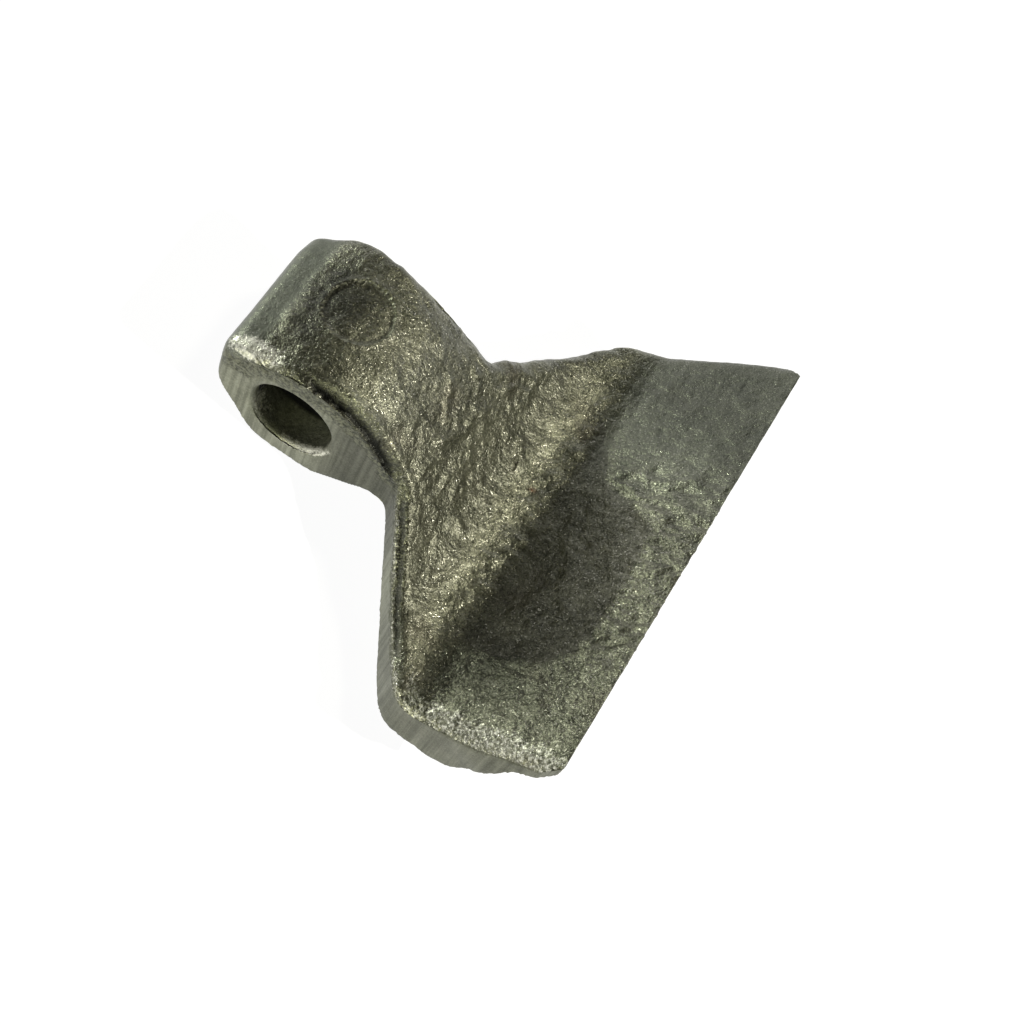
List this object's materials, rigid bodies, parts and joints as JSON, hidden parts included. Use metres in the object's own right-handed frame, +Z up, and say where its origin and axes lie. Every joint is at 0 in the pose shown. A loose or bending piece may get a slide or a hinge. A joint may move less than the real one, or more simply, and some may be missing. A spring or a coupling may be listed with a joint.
{
  "type": "shredder hammer",
  "caption": "One-piece forged hammer for a flail shredder: a bored eye, a short neck and a flared, dished blade with a straight cutting edge.",
  "frame": {"origin": "middle of the bolt bore, on its axis, halfway across the eye", "axes": "+Y along the bore, +X from the bore towards the cutting edge, +Z up with the hammer lying on its eye and heel"},
  "size_m": [0.1116, 0.1226, 0.0534],
  "materials": {
    "forged_steel": "as forged and sheared, dark olive grey scale"
  },
  "bodies": {
    "root": {"hammer": "forged_steel"}
  },
  "joints": []
}
